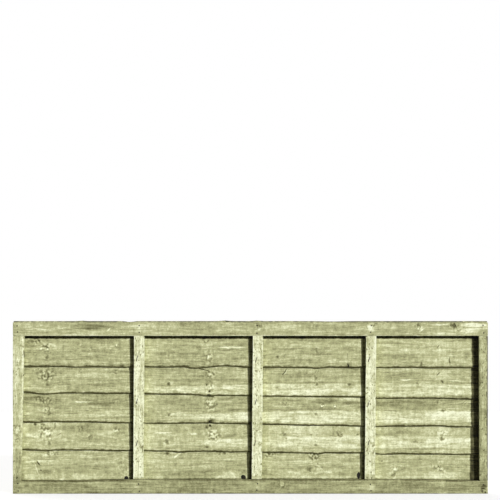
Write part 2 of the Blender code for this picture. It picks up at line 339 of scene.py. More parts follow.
            (1036.5, -293, 11, 10, 0, 0.14, 0.5), (775, -321, 6, 5, 0, -0.14, 0.4),
            (1818.5, -324, 3.5, 3.5, 0, -0.5, 0.2),
        ),
        marks=(
            (1010, -293, 18, 14, -0.08), (470, -300, 20, 20, 0.08), (1372, -312, 20, 10, 0.06),
            (480, -304, 50, 14, 0.04), (200, -300, 140, 20, -0.04), (940, -302, 45, 22, 0.12),
            (730, -313, 140, 5, -0.05), (1370, -302, 45, 22, 0.12), (1700, -305, 100, 16, -0.05),
            # The first mark here is painted shade along the rail's lower edge
            (915, -329, 1400, 3.4, -0.22, 0, 0.7), (1813, -304, 16, 11, -0.2, 30, 0.5),
            (1812, -317, 12, 12, -0.18, 0, 0.3), (1815, -320, 8, 8, 0.24, 0, 0.3),
        ),
        front_marks=(
            # Painted shade along the rail's upper edge, in the joint under the slats
            (200, -283, 166, 4, -0.2, 0, 0.5), (340, -280, 170, 4, -0.18, 1, 0.5),
            (1000, -278, 620, 4.2, -0.19, 0, 0.5), (1640, -279.8, 150, 4, -0.18, -1, 0.5),
        ),
    ),
    "left_stile_front": own_wood(
        0.79,
        knots=(
            (22.5, 173, 5.5, 10, 0, 0.1, 0.4), (19, -88, 12, 18, 0, 0.05, 0.4),
        ),
        marks=(
            (15, 173, 2.2, 10, -0.26), (30, 174, 2.2, 8, -0.2), (12.5, 142, 3, 5, -0.26),
            (42.5, 208, 3, 18, -0.4, 0, 0.6), (41.5, 126.5, 4.5, 5, -0.46), (40, 23, 3.6, 14, -0.46),
            # The first mark here is a painted highlight along the stile's inner edge
            (39, 50, 2.2, 260, 0.08), (22, 220, 14, 60, 0.05), (11, -78, 2.6, 18, -0.16, -14),
            (27, -82, 2.4, 20, -0.12, 12), (16, -119, 14, 2.8, -0.28, 14), (18, -210, 24, 80, -0.13),
            (18, -272, 30, 22, -0.18, 0, 0.7), (1.5, 0, 1.6, 300, -0.16),
        ),
    ),
    "right_stile_front": own_wood(
        0.69,
        knots=((1806, 85, 6, 14, 0, 0.05, 0.4),),
        marks=(
            (1828, -20, 4.5, 500, -0.34, 0, 0.6), (1816, 142, 2.2, 2.6, -0.4),
            (1815, -251, 2.2, 2.6, -0.4), (1809, 110, 8, 80, 0.06), (1808, -60, 6, 80, 0.04),
            (1813, -240, 20, 40, -0.05), (1813, -274, 30, 18, -0.12, 0, 0.7),
        ),
    ),
    "batten_1_front": own_wood(
        0.875,
        knots=((496, -147, 6, 9, 20, -0.2, 0.6),),
        marks=(
            (499, -165, 3.5, 14, -0.22, -12, 0.6), (486, -272, 30, 6, -0.15, 0, 0.2),
            # The first mark here is a painted highlight along the batten's left arris
            (468, 0, 3, 400, 0.08, 0, 0.7), (483, 250, 20, 40, -0.07), (482, 130, 12, 50, 0.02),
        ),
    ),
    "batten_2_front": own_wood(
        0.885,
        knots=((954, -140, 6, 9, 20, -0.2, 0.6),),
        marks=(
            (957, -160, 3.5, 14, -0.2, -12, 0.6), (943.5, -269, 34, 10, -0.08, 0, 0.2),
            # The first mark here is a painted highlight along the batten's left arris
            (925.5, 0, 3, 400, 0.07, 0, 0.7), (941, 250, 20, 40, -0.08),
        ),
    ),
    "batten_3_front": own_wood(
        0.875,
        knots=((1388, -140, 6, 9, 20, -0.2, 0.6),),
        marks=(
            (1393, -162, 3.5, 16, -0.2, -14, 0.6), (1378, -266, 34, 14, -0.11, 0, 0.2),
            # The first mark here is a painted highlight along the batten's left arris
            (1361.2, 0, 3, 400, 0.07, 0, 0.7), (1378, 250, 20, 40, -0.07),
        ),
    ),
}

# How far each batten leans to the right at its top
BATTEN_LEANS = {"batten_1": math.radians(0.35), "batten_2": math.radians(0.5), "batten_3": math.radians(0.5)}

# How far each front stile's inner edge is moved along X, at its foot and at its top
STILE_TAPERS = {"left_stile_front": (-0.005, 0.008), "right_stile_front": (0.004, 0.002)}

# How far the front bottom rail's upper edge rises, and where it rises from the left and from the right
RAIL_RISE = 0.0056
RAIL_RAMPS = ((0.18, 0.50), (1.83, 1.50))

# Tones of the timbers that have no list of their own
PLAIN_TONES = {"rail": 0.69, "stile": 0.71, "batten": 0.77}

# Painted shadow and shade on a slat, each placed from its upright and tall enough for any slat.
# The painted shadow lies left of the battens and left of the right stile, and a faint painted shade lies
# right of all uprights but the last.
LEFT_PAINTED_SHADOW = Mark(-0.004, 0.0, 0.0, 0.14, -0.30, 0.0, 0.8)
RIGHT_PAINTED_SHADE = Mark(0.0, 0.0, 0.020, 0.14, -0.06, 0.0, 0.9)
STILE_PAINTED_SHADOW = Mark(0.006, 0.0, 0.030, 0.20, -0.50, 0.0, 0.12)

# Half widths of the painted shadows left of the battens, and how the painted shadow's tone and width change
# down to the foot
LEFT_SHADOW_WIDTHS = (0.0130, 0.0115, 0.0105)
SHADOW_DEEPENING = -0.20
STILE_SHADOW_WIDENING = 0.010

# The stain round a nail
NAIL_STAIN = Mark(0.0, 0.0, 0.0055, 0.0065, -0.10, 0.0, 0.9)

# Where the marks of a front face fade out: shares of a slat's thickness, and heights behind the top rail
FACE_SHARES = (0.3, 0.7)
RAIL_COVER = (0.008, 0.015)

# How far round a knot its grain is bent, in half lengths, and the margin for a ragged rim
KNOT_REACH = 4
MARK_MARGIN = 0.01

# Shares of a rail's height at which nails are driven, and heights in the panel at which staples are
NAIL_SHARES = (0.24, 0.76)
STAPLE_HEIGHTS = (0.192, 0.022, -0.133)

# Where a staple lies across its batten, and how far it strays across and along it
STAPLE_SHARE = 0.32
STAPLE_SCATTER = (0.0015, 0.006)

# A nail head's thickness and worn rim as shares of its radius, and how much of its thickness is sunk
HEAD_THICKNESS = 0.7
HEAD_RIM = 0.22
HEAD_SUNK = 0.1

# How deep a staple's wire is sunk, how tightly it turns and how long its legs are, in radii of the wire
STAPLE_SUNK = 0.5
STAPLE_TURN = 0.6
STAPLE_LEG = 3.0

# How far a face's normal has to lean up or down, or out of the front, for the face to be part of an edge
EDGE_LEAN = 0.3
WANE_LEAN = 0.2

# How far a staple's end face has to look along the staple
END_LEAN = 0.9

# Corners of a slat's solid that are nearer than this are one, and its triangles pair up within this angle
SEAM = 0.00002
PAIR_ANGLE = math.radians(60)

# A slat's edges that climb more than this, or run on more than this, and the cuts that each of them gets
CLIMB = 0.05
RUN = 0.01
CLIMB_CUTS = 12
RUN_CUTS = 2

# Cuts across a frame timber's faces
FRAME_CUTS = 3

# Grain sizes of the sawn faces of slats and frames, and of the broken wane, and the wane's resting level
SLAT_SAW_GRAIN = 0.05
FRAME_SAW_GRAIN = 0.045
WANE_GRAIN = 0.008
WANE_LEVEL = 0.3

# Corners whose places along an axis differ by less than this are level
LEVEL = 1e-4

# Faces that meet at less than this are shaded as one
SMOOTH_ANGLE = math.radians(35.0)

# The width of the sun in the sky, and the colours of the sky and the floor
SUN_ANGLE = math.radians(1.5)
SKY_COLOUR = (1.0, 0.98, 0.88, 1.0)
WHITE = (1.0, 1.0, 1.0, 1.0)
FLOOR_COLOUR = (0.30, 0.30, 0.32, 1.0)

# How much the floor is lifted towards white, and how far below the panel it lies
FLOOR_GLOW = 0.70
FLOOR_GAP = 0.0005


class Wiring:
    """Adds nodes to a node tree and joins them up."""

    def __init__(self, tree):
        self.tree = tree

    def feed(self, socket, value):
        if isinstance(value, bpy.types.NodeSocket):
            self.tree.links.new(value, socket)
        else:
            socket.default_value = value

    def add(self, kind, settings=None, **inputs):
        """Inputs are named as on the node, with underscores for spaces, or numbered as in_0, in_1."""
        node = self.tree.nodes.new(kind)
        for name, value in (settings or {}).items():
            setattr(node, name, value)
        for name, value in inputs.items():
            key = int(name[3:]) if name.startswith("in_") else name.replace("_", " ")
            self.feed(node.inputs[key], value)
        return node

    def math(self, operation, *values):
        inputs = {f"in_{i}": value for i, value in enumerate(values)}
        return self.add("ShaderNodeMath", {"operation": operation}, **inputs).outputs[0]

    def vector(self, operation, *values):
        inputs = {f"in_{i}": value for i, value in enumerate(values)}
        node = self.add("ShaderNodeVectorMath", {"operation": operation}, **inputs)
        return node.outputs["Value" if operation in ("LENGTH", "DOT_PRODUCT") else "Vector"]

    def split(self, vector):
        return self.add("ShaderNodeSeparateXYZ", Vector=vector).outputs

    def spread(self, value, low, high, to_low=0.0, to_high=1.0):
        """Eases from one value, where the input is low, to another, where it is high, and stays between."""
        settings = {"interpolation_type": "SMOOTHSTEP"}
        inputs = {"Value": value, "From_Min": low, "From_Max": high, "To_Min": to_low, "To_Max": to_high}
        return self.add("ShaderNodeMapRange", settings, **inputs).outputs["Result"]

    def noise(self, position, per_metre, detail=2.0, roughness=0.5):
        """Noise about zero, with so many features a metre along each axis."""
        place = self.vector("MULTIPLY", position, per_metre)
        inputs = {"Vector": place, "Scale": 1.0, "Detail": detail, "Roughness": roughness}
        return self.math("SUBTRACT", self.add("ShaderNodeTexNoise", **inputs).outputs["Fac"], 0.5)

    def in_ellipse(self, given):
        """The position in an ellipse's own axes, where its rim lies at a distance of 1."""
        sockets = {"Vector": "Position", "Location": "Centre", "Rotation": "Turn", "Scale": "Half Size"}
        inputs = {socket: given[name] for socket, name in sockets.items()}
        return self.add("ShaderNodeMapping", {"vector_type": "TEXTURE"}, **inputs).outputs["Vector"]

    def group(self, tree, **inputs):
        node = self.tree.nodes.new("ShaderNodeGroup")
        node.node_tree = tree
        for name, value in inputs.items():
            self.feed(node.inputs[name.replace("_", " ")], value)
        return node.outputs


def new_group(name, inputs, outputs):
    """An empty node group with its sockets. Gives the group, its wiring, its inputs and its outputs."""
    tree = bpy.data.node_groups.new(name, "ShaderNodeTree")
    vectors = ("Position", "Centre", "Half Size", "Turn", "Pith", "Low", "High")
    kinds = {**dict.fromkeys(vectors, "NodeSocketVector"), "Color": "NodeSocketColor"}
    for direction, sockets in (("INPUT", inputs), ("OUTPUT", outputs)):
        for socket in sockets:
            kind = kinds.get(socket, "NodeSocketFloat")
            tree.interface.new_socket(name=socket, in_out=direction, socket_type=kind)
    w = Wiring(tree)
    return tree, w, w.add("NodeGroupInput").outputs, w.add("NodeGroupOutput").inputs


def treated_tones_group():
    """Turns a tone into the yellow-green of treated softwood."""
    tree, w, given, out = new_group("treated_tones", ["Tone"], ["Color"])
    ramp = w.add("ShaderNodeValToRGB", Fac=given["Tone"])
    elements = ramp.color_ramp.elements
    elements[0].position = TREATED_TONES[0][0]
    elements[1].position = TREATED_TONES[-1][0]
    for tone, _ in TREATED_TONES[1:-1]:
        elements.new(tone)
    for element, (_, colour) in zip(elements, TREATED_TONES):
        element.color = (*colour, 1.0)
    w.feed(out["Color"], ramp.outputs["Color"])
    return tree


def tone_mark_group():
    """Adds tone inside a soft-edged ellipse: a streak, a stain, a scratch or a zone of paler wood."""
    inputs = ["Tone", "Position", "Centre", "Half Size", "Turn", "Strength", "Soft"]
    tree, w, given, out = new_group("tone_mark", inputs, ["Tone"])
    reach = w.vector("LENGTH", w.in_ellipse(given))
    mask = w.spread(reach, 1.0, w.math("SUBTRACT", 1.0, given["Soft"]))
    w.feed(out["Tone"], w.math("MULTIPLY_ADD", mask, given["Strength"], given["Tone"]))
    return tree


def softwood_knot_group():
    """Adds a knot: its core, its dark rim, the flecked wood round it, and the grain's bend past it."""
    outputs = ["Tone", "Bend", "Fleck"]
    inputs = [*outputs, "Position", "Centre", "Half Size", "Turn", "Core", "Flecks"]
    tree, w, given, out = new_group("softwood_knot", inputs, outputs)
    local = w.in_ellipse(given)
    reach = w.vector("LENGTH", local)
    core = w.spread(reach, KNOT_RIM, 0.45)
    rim = w.spread(w.math("ABSOLUTE", w.math("SUBTRACT", reach, KNOT_RIM)), 0.40, 0.0)
    rim_tone = w.math("MULTIPLY_ADD", w.math("ABSOLUTE", given["Core"]), -0.4, -0.03)
    tone = w.math("MULTIPLY_ADD", core, given["Core"], given["Tone"])
    tone = w.math("MULTIPLY_ADD", rim, rim_tone, tone)
    height = w.split(given["Half Size"])["Z"]
    squared = w.math("MAXIMUM", w.math("MULTIPLY", reach, reach), 1.0)
    past = w.math("DIVIDE", w.split(local)["Z"], squared)
    halo = w.math("MULTIPLY", w.spread(reach, 2.6, 0.8), given["Flecks"])
    w.feed(out["Tone"], tone)
    w.feed(out["Bend"], w.math("SUBTRACT", given["Bend"], w.math("MULTIPLY", past, height)))
    w.feed(out["Fleck"], w.math("MAXIMUM", given["Fleck"], halo))
    return tree


def sawn_grain_group():
    """Growth lines, streaks, fibres and saw marks, as a change of tone and a height in metres.

    Growth rings lie round a pith line that runs along the timber, so its ends, faces and edges agree.
    """
    inputs = ["Position", "Pith", "Bend", "Fleck", "Pits"]
    tree, w, given, out = new_group("sawn_grain", inputs, ["Tone", "Height"])
    position = given["Position"]
    place = w.split(position)
    bent = w.add("ShaderNodeCombineXYZ", Y=place["Y"], Z=w.math("ADD", place["Z"], given["Bend"]))
    ring = w.vector("LENGTH", w.vector("SUBTRACT", bent.outputs["Vector"], given["Pith"]))
    ring = w.math("MULTIPLY_ADD", w.noise(position, (1.6, 3.0, 3.0), 1.0), RING_WANDER, ring)
    growth = w.add("ShaderNodeCombineXYZ", X=place["X"], Z=ring).outputs["Vector"]
    line = w.math("ABSOLUTE", w.noise(growth, (1.4, 1.0, 120.0), 1.0))
    curl = w.spread(w.noise(position, (115.0, 115.0, 105.0), 0.5), -0.15, 0.15, to_low=-1.0)
    pits = w.spread(w.noise(position, (95.0, 200.0, 260.0), 0.0), 0.16, 0.26)
    parts = {
        "streaks": w.noise(growth, (5.0, 1.0, 105.0), 2.0, 0.6),
        "fibres": w.noise(growth, (22.0, 1.0, 340.0), 2.0, 0.6),
        "line": w.spread(line, 0.04, 0.0),
        "mottle": w.noise(position, (55.0, 55.0, 70.0), 2.0, 0.6),
        "saw": w.noise(position, (120.0, 30.0, 22.0), 2.0, 0.6),
        "speck": w.noise(position, (190.0, 190.0, 230.0), 1.0),
        "curl": w.math("MULTIPLY", curl, given["Fleck"]),
        "pits": w.math("MULTIPLY", pits, given["Pits"]),
    }
    for output, strengths in (("Tone", GRAIN_TONES), ("Height", GRAIN_HEIGHTS)):
        total = 0.0
        for name, strength in strengths.items():
            total = w.math("MULTIPLY_ADD", parts[name], strength, total)
        w.feed(out[output], total)
    return tree


def arris_wear_and_highlight_group():
    """A mask along the twelve arrises of a timber between two corners, where handling wear and a painted
    highlight leave it pale.
    """
    tree, w, given, out = new_group("arris_wear_and_highlight", ["Position", "Low", "High", "Width"], ["Mask"])
    from_low = w.vector("SUBTRACT", given["Position"], given["Low"])
    from_high = w.vector("SUBTRACT", given["High"], given["Position"])
    off = w.split(w.vector("MINIMUM", from_low, from_high))
    pairs = [w.math("MAXIMUM", off[a], off[b]) for a, b in (("X", "Y"), ("Y", "Z"), ("X", "Z"))]
    nearest = w.math("MINIMUM", w.math("MINIMUM", pairs[0], pairs[1]), pairs[2])
    w.feed(out["Mask"], w.spread(nearest, given["Width"], 0.0))
    return tree


def shared_groups():
    """The node groups that the materials share, made the first time that they are asked for."""
    makers = {
        "treated_tones": treated_tones_group,
        "tone_mark": tone_mark_group,
        "softwood_knot": softwood_knot_group,
        "sawn_grain": sawn_grain_group,
        "arris_wear_and_highlight": arris_wear_and_highlight_group,
    }
    return {name: bpy.data.node_groups.get(name) or make() for name, make in makers.items()}


def new_material(name):
    material = bpy.data.materials.new(name)
    material.use_nodes = True
    material.node_tree.nodes.clear()
    w = Wiring(material.node_tree)
    shader = w.add("ShaderNodeBsdfPrincipled")
    w.add("ShaderNodeOutputMaterial", Surface=shader.outputs["BSDF"])
    return material, w, shader


def coat(w, shader, colour, roughness, height, bump_strength):
    """Gives the shader its colour and its roughness, and a bump from a height in metres."""
    w.feed(shader.inputs["Base Color"], colour)
    w.feed(shader.inputs["Roughness"], roughness)
    bump = w.add("ShaderNodeBump", Height=height, Strength=bump_strength, Distance=1.0)
    w.feed(shader.inputs["Normal"], bump.outputs["Normal"])


def dry_coat(w, shader, tone, roughness, height, bump_strength):
    """The coat of dry wood of a tone."""
    (colour,) = w.group(shared_groups()["treated_tones"], Tone=tone)
    shader.inputs["Specular IOR Level"].default_value = DRY_SPECULAR
    coat(w, shader, colour, roughness, height, bump_strength)


def turned(place, upright):
    """A place in the wood's own axes: along the grain, through the timber, and across the grain."""
    return Vector((-place.z, place.y, place.x)) if upright else Vector(place)


def bay_spans():
    """Spans along the panel that meet behind the middles of the battens."""
    middles = [sum(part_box(f"{batten}_front"), Vector()).x / 2 for batten in BATTENS]
    edges = [PANEL_LOW.x - MARK_MARGIN, *middles, PANEL_HIGH.x + MARK_MARGIN]
    return list(zip(edges, edges[1:]))


def within(wood, left, right):
    """The timber with only the knots and marks that reach into a span."""

    def near(spots, reach, margin):
        reaches = [(spot, reach * spot.length + margin) for spot in spots]
        return [spot for spot, far in reaches if left < spot.x + far and spot.x - far < right]

    marks, front_marks = (near(some, 1, MARK_MARGIN) for some in (wood.marks, wood.front_marks))
    return Wood(wood.tone, near(wood.knots, KNOT_REACH, 0.0), marks, front_marks)


def rise_share(x):
    """How much of the rise the front bottom rail's upper edge has at a place along the panel."""
    share = 1.0
    for foot, top in RAIL_RAMPS:
        t = min(max((x - foot) / (top - foot), 0.0), 1.0)
        share *= t * t * (3 - 2 * t)
    return share


def painted_corner_shade(name):
    """Painted shadow and shade that darken a slat along the uprights, most on their left sides and towards
    the foot.
    """
    low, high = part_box(name)
    height = (low.z + high.z) / 2
    down = (PANEL_HIGH.z - height) / (PANEL_HIGH.z - PANEL_LOW.z)
    tone = LEFT_PAINTED_SHADOW.tone + SHADOW_DEEPENING * down
    painted_shades = [
        LEFT_PAINTED_SHADOW._replace(x=LEFT_PAINTED_SHADOW.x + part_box(f"{b}_front")[0].x, z=height, length=width, tone=tone)
        for b, width in zip(BATTENS, LEFT_SHADOW_WIDTHS)
    ]
    for upright in UPRIGHTS[:-1]:
        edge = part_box(f"{upright}_front")[1].x
        painted_shades.append(RIGHT_PAINTED_SHADE._replace(x=edge, z=height))
    place = STILE_PAINTED_SHADOW.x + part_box("right_stile_front")[0].x
    width = STILE_PAINTED_SHADOW.length + STILE_SHADOW_WIDENING * down
    return [*painted_shades, STILE_PAINTED_SHADOW._replace(x=place, z=height, length=width)]


def front_face(w, position, low, high, leaning):
    """A mask of a timber's front face, as far up as it shows under the top rail. A slat's face leans back."""
    place = w.split(w.vector("SUBTRACT", position, low))
    lean = (high.y - low.y - SLAT_THICKNESS) / (high.z - low.z) if leaning else 0.0
    depth = w.math("MULTIPLY_ADD", place["Z"], -lean, place["Y"])
    shallow, deep = (share * SLAT_THICKNESS for share in FACE_SHARES)
    seen, hidden = (RAIL_LOW.z - low.z + cover for cover in RAIL_COVER)
    return w.math("MULTIPLY", w.spread(depth, deep, shallow), w.spread(place["Z"], hidden, seen))


def softwood(name, wood, box, upright=False, seed=None):
    """Sawn, treated softwood with its own knots and marks. The same seed gives the same grain."""
    groups = shared_groups()
    low, high = box
    depth = (low.y + high.y) / 2
    material, w, shader = new_material(name)
    position = w.add("ShaderNodeTexCoord").outputs["Object"]
    wobble = w.add("ShaderNodeTexNoise", Vector=position, Scale=60.0, Detail=2.0).outputs["Color"]
    wobble = w.vector("SUBTRACT", wobble, (0.5, 0.5, 0.5))
    ragged = w.vector("MULTIPLY_ADD", wobble, RAGGEDNESS, position)

    def ellipse(spot):
        """The inputs that place a knot or a mark, which goes right through the timber."""
        return {
            "Position": ragged,
            "Centre": (spot.x, depth, spot.z),
            "Half_Size": (spot.length, 1.0, spot.height),
            "Turn": (0.0, math.radians(-spot.turn), 0.0),
        }

    tone, bend, fleck = wood.tone, 0.0, 0.0
    for knot in wood.knots:
        inputs = {"Tone": tone, "Bend": bend, "Fleck": fleck, "Core": knot.tone, "Flecks": knot.flecks}
        tone, bend, fleck = w.group(groups["softwood_knot"], **inputs, **ellipse(knot))
    strengths = [(mark, mark.tone) for mark in wood.marks]
    if wood.front_marks:
        in_front = front_face(w, position, low, high, leaning=name.startswith("slat"))
        strengths += [(mark, w.math("MULTIPLY", in_front, mark.tone)) for mark in wood.front_marks]
    for mark, strength in strengths:
        inputs = {"Tone": tone, "Strength": strength, "Soft": mark.soft}
        (tone,) = w.group(groups["tone_mark"], **inputs, **ellipse(mark))
    # Dirt and painted shade along the marked edges: the slats' lap lines and the bottom rail's top
    edge_dirt_and_shade = w.add("ShaderNodeAttribute", {"attribute_name": "stained_edge"}).outputs["Fac"]
    edge_dirt_and_shade = w.math("MULTIPLY_ADD", w.noise(position, (60.0, 60.0, 60.0), 1.0), EDGE_DIRT_AND_SHADE_NOISE, edge_dirt_and_shade)
    tone = w.math("MULTIPLY_ADD", w.spread(edge_dirt_and_shade, *EDGE_DIRT_AND_SHADE_RAMP), EDGE_DIRT_AND_SHADE_TONE, tone)
    along = (0.0, math.radians(90.0) if upright else 0.0, 0.0)
    grain_place = w.add("ShaderNodeMapping", {"vector_type": "TEXTURE"}, Vector=position, Rotation=along)
    draw = random.Random(seed or name)
    centre = turned((low + high) / 2, upright)
    pith = centre + Vector((0.0, draw.uniform(*PITH_BEHIND), draw.uniform(*PITH_OVER)))
    grain_tone, height = w.group(
        groups["sawn_grain"],
        Position=grain_place.outputs["Vector"],
        Pith=(0.0, pith.y, pith.z),
        Bend=bend,
        Fleck=fleck,
        Pits=UPRIGHT_PITS if upright else LEVEL_PITS,
    )
    # Pale arrises: handling wear and a painted highlight
    (worn,) = w.group(groups["arris_wear_and_highlight"], Position=position, Low=low, High=high, Width=WORN_HIGHLIGHT_WIDTH)
    tone = w.math("MULTIPLY_ADD", worn, WORN_HIGHLIGHT_TONE, tone)
    tone = w.math("ADD", tone, grain_tone)
    dry_coat(w, shader, tone, w.spread(tone, 0.3, 0.9, to_low=0.72, to_high=0.92), height, 0.5)
    return material


def bark_material():
    """The rounded outside of the log, with the inner bark still on it."""
    material, w, shader = new_material("inner_bark")
    position = w.add("ShaderNodeTexCoord").outputs["Object"]
    scales = w.noise(position, (45.0, 160.0, 160.0), 3.0, 0.6)
    patches = w.noise(position, (12.0, 12.0, 12.0), 1.0)
    tone = w.math("MULTIPLY_ADD", scales, 0.34, 0.26)
    tone = w.math("MULTIPLY_ADD", patches, 0.30, tone)
    dry_coat(w, shader, tone, 0.9, w.math("MULTIPLY", scales, 0.0012), 0.7)
    return material


def steel_material(settings):
    """Bright steel that has gone dull and dark in treated timber."""
    material, w, shader = new_material("weathered_steel")
    position = w.add("ShaderNodeTexCoord").outputs["Object"]
    rust = w.noise(position, (900.0, 900.0, 900.0), 2.0, 0.6)
    mask = w.spread(rust, -0.12, 0.16)
    mix = w.add("ShaderNodeMix", {"data_type": "RGBA"}, Factor=mask)
    w.feed(mix.inputs[MIX_A], (*settings.steel_colour, 1.0))
    w.feed(mix.inputs[MIX_B], (*settings.rust_colour, 1.0))
    shader.inputs["Metallic"].default_value = 0.35
    roughness = w.spread(rust, -0.2, 0.2, to_low=0.55, to_high=0.85)
    coat(w, shader, mix.outputs[MIX_RESULT], roughness, w.math("MULTIPLY", rust, 0.0003), 0.6)
    return material


def select_only(*pieces):
    bpy.ops.object.select_all(action="DESELECT")
    for piece in pieces:
        piece.select_set(True)
    bpy.context.view_layer.objects.active = pieces[0]


def apply_transform():
    bpy.ops.object.transform_apply(location=True, rotation=True, scale=True)


def add_primitive(operator, **settings):
    """A new mesh from one of Blender's primitives, with its transform applied and nothing else selected."""
    bpy.ops.object.select_all(action="DESELECT")
    operator(**settings)
    apply_transform()
    return bpy.context.object


def select_parts(piece, kind, wanted):
    """In edit mode, selects the edges or the faces that pass the test."""
    bpy.ops.mesh.select_mode(type=kind)
    bpy.ops.mesh.select_all(action="DESELECT")
    bm = bmesh.from_edit_mesh(piece.data)
    bm.normal_update()
    for part in bm.edges if kind == "EDGE" else bm.faces:
        if wanted(part):
            part.select_set(True)
    bmesh.update_edit_mesh(piece.data)


def select_edges(piece, wanted):
    """In edit mode, selects the edges whose two ends pass the test."""
    select_parts(piece, "EDGE", lambda edge: wanted(edge.verts[0].co, edge.verts[1].co))


def apply_modifier(piece, name, kind, **settings):
    modifier = piece.modifiers.new(name, kind)
    for setting, value in settings.items():
        setattr(modifier, setting, value)
    select_only(piece)
    bpy.ops.object.modifier_apply(modifier=modifier.name)


def roughen(piece, name, grain_size, depth, vertex_group="", level=1.0):
    """Makes the surface uneven by a depth. Noise of the level stays in place, and less of it is cut in."""
    texture = bpy.data.textures.new(name, "CLOUDS")
    texture.noise_scale = grain_size
    texture.noise_depth = 2
    apply_modifier(
        piece, name, "DISPLACE", texture=texture, strength=depth, mid_level=level, vertex_group=vertex_group
    )
    bpy.data.textures.remove(texture)


def mark_dirt_and_shade_edges(piece, faces):
    """Marks the corners of some faces, which its material then darkens with dirt and painted shade."""
    stained_edge = piece.data.attributes.new("stained_edge", "FLOAT", "POINT")
    for vertex in {v for face in faces for v in face.vertices}:
        stained_edge.data[vertex].value = 1.0


def finish_piece(piece, replaced=()):
    """Shades the piece, fixes it to the panel, and hides the solid parts that it replaces."""
    select_only(piece)
    bpy.ops.object.shade_smooth_by_angle(angle=SMOOTH_ANGLE)
    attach(piece, BODY)
    if replaced:
        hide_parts(*replaced)
    bpy.ops.object.select_all(action="DESELECT")


def copy_to(piece, place):
    """A copy of the piece with a mesh of its own, moved from the origin to a place."""
    select_only(piece)
    bpy.ops.object.duplicate()
    copy = bpy.context.object
    copy.location = place
    apply_transform()
    return copy


def finish_fixings(name, first, places, settings):
    """Copies a nail head or a staple to its places, joins the copies and gives them their steel."""
    copies = [copy_to(first, place) for place in places]
    bpy.data.objects.remove(first)
    select_only(*copies)
    bpy.ops.object.join()
    joined = bpy.context.object
    joined.name = name
    joined.data.materials.append(bpy.data.materials.get("weathered_steel") or steel_material(settings))
    finish_piece(joined)


def outward(side):
    return -1.0 if side == "front" else 1.0


def outer_face(box, side):
    low, high = box
    return low.y if side == "front" else high.y


def nail_places(side, settings):
    """Two nails where each rail crosses each upright, as points on the rail's outer face."""
    places = []
    for rail in RAILS:
        low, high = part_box(f"{rail}_{side}")
        face = outer_face((low, high), side)
        for upright in UPRIGHTS:
            left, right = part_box(f"{upright}_{side}")
            draw = random.Random(rail + upright + side)
            for share in NAIL_SHARES:
                x = (left.x + right.x) / 2 + draw.uniform(-1, 1) * settings.nail_scatter
                z = low.z + (high.z - low.z) * share + draw.uniform(-1, 1) * settings.nail_scatter
                places.append(Vector((x, face, z)))
    return places


def staple_places(side):
    """Three staples up each batten, where it crosses a slat, as points on the batten's outer face."""
    places = []
    for batten in BATTENS:
        low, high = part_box(f"{batten}_{side}")
        face = outer_face((low, high), side)
        lean = BATTEN_LEANS[batten] if side == "front" else 0.0
        draw = random.Random(batten + side)
        across, along = STAPLE_SCATTER
        for height in STAPLE_HEIGHTS:
            x = low.x + (high.x - low.x) * STAPLE_SHARE + height * math.tan(lean)
            x += draw.uniform(-across, across)
            places.append(Vector((x, face, height + draw.uniform(-along, along))))
    return places


def length_setting(name, description, default, low=0.0, high=10.0):
    limits = {"min": low, "max": high, "unit": "LENGTH", "precision": 4}
    return FloatProperty(name=name, description=description, default=default, **limits)


def strength_setting(name, description, default):
    return FloatProperty(name=name, description=description, default=default, min=0.0)


def direction_setting(name, description, default):
    return FloatVectorProperty(name=name, description=description, default=default, subtype="DIRECTION")


def colour_setting(name, description, default):
    return FloatVectorProperty(
        name=name, description=description, default=default, min=0.0, max=1.0, subtype="COLOR"
    )


class PanelTimber(bpy.types.PropertyGroup):
    arris: length_setting("Arris", "Width of the eased edges of a frame timber", 0.0018, 0.0005, 0.006)
    cut_spacing: length_setting("Cut spacing", "Distance between the cuts along a timber", 0.018, 0.005, 0.1)
    saw_wander: length_setting("Saw wander", "How deep the saw left the faces uneven", 0.0007, 0.0, 0.002)
    wane_depth: length_setting("Wane roughness", "How deep the natural edge is pitted", 0.0022, 0.0, 0.003)


class PanelFixings(bpy.types.PropertyGroup):
    nail_diameter: length_setting("Nail head", "Diameter of a nail's head", 0.0052, 0.002, 0.012)
    nail_scatter: length_setting("Nail scatter", "How far a nail lies from its even place", 0.003, 0.0, 0.01)
    staple_crown: length_setting("Staple crown", "Length of a staple's crown", 0.022, 0.005, 0.04)
    staple_wire: length_setting("Staple wire", "Thickness of a staple's wire", 0.0022, 0.0005, 0.004)
    staple_lean: FloatProperty(
        name="Staple lean",
        description="How far a staple's crown leans from upright",
        default=math.radians(16.0),
        subtype="ANGLE",
    )
    steel_colour: colour_setting("Steel", "Colour of the dull steel", (0.040, 0.034, 0.022))
    rust_colour: colour_setting("Rust", "Colour of the rusted steel", (0.028, 0.017, 0.006))


class PanelStage(bpy.types.PropertyGroup):
    lens: FloatProperty(
        name="Lens", description="Focal length of the camera", default=150.0, min=20.0, unit="CAMERA"
    )
    metres_across: length_setting("Width in view", "Width of the view at the panel's front", 1.925)
    camera_rise: length_setting("Camera height", "Height of the camera above the middle of the frame", 0.6088)
    camera_side: length_setting("Camera offset", "How far the camera stands left of the middle", 0.0014)
    sun_strength: strength_setting("Sun", "Strength of the sun", 3.73)
    sun_direction: direction_setting("Sun direction", "From the panel towards the sun", (0.78, -1.0, 0.44))
    sky_strength: strength_setting("Sky", "Strength of the light from the front and the sides", 0.07)
    back_sky_strength: strength_setting("Sky behind", "Strength of the light from behind the panel", 3.3)
    back_sky_direction: direction_setting(
        "Brightest sky", "From the panel towards the brightest sky", (-0.5, 0.75, 0.45)
    )
    floor_size: length_setting("Floor", "Length of the floor's sides", 8.0)


